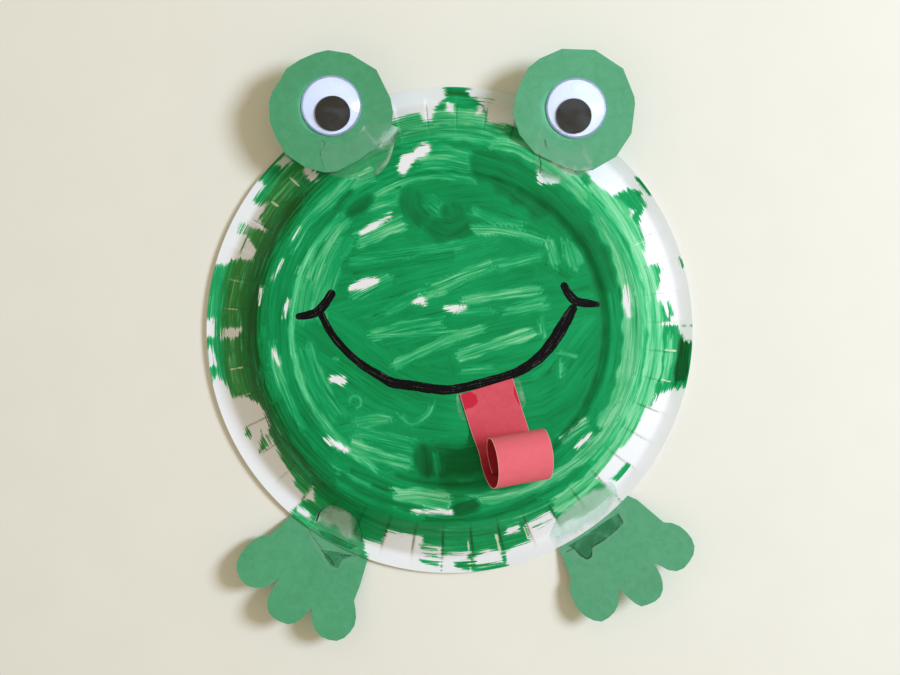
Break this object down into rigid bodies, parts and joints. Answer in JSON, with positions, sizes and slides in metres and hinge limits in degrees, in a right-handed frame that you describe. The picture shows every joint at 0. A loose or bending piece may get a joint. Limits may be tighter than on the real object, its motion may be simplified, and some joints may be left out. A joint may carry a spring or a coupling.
{
  "type": "paper plate frog",
  "caption": "Paper craft frog: a pleated paper plate lying face down, with drawn smile, paper eyes and feet held by clear film, googly eyes and a curled paper tongue.",
  "frame": {"origin": "under the middle of the frog's outline, on the surface that it lies on", "axes": "+Z out of the frog's face, +Y towards the eyes, +X to the right of the face as it is seen"},
  "size_m": [0.2288, 0.2726, 0.0474],
  "materials": {
    "painted_board": "brushed paint on white pressed board, bare at the rim",
    "green_paper": "fibrous craft paper",
    "red_paper": "fibrous craft paper",
    "white_plastic": "gloss",
    "black_plastic": "satin",
    "clear_plastic": "clear gloss",
    "black_ink": "dried marker ink",
    "clear_film": "thin clear film with gloss"
  },
  "bodies": {
    "root": {"plate": "painted_board", "left_eye_disc": "green_paper", "right_eye_disc": "green_paper", "left_eye_base": "white_plastic", "right_eye_base": "white_plastic", "left_pupil": "black_plastic", "right_pupil": "black_plastic", "left_eye_dome": "clear_plastic", "right_eye_dome": "clear_plastic", "left_foot": "green_paper", "right_foot": "green_paper", "mouth_line": "black_ink", "tongue": "red_paper", "left_eye_film": "clear_film", "right_eye_film": "clear_film", "left_foot_film": "clear_film", "right_foot_film": "clear_film", "tongue_film": "clear_film"}
  },
  "joints": []
}
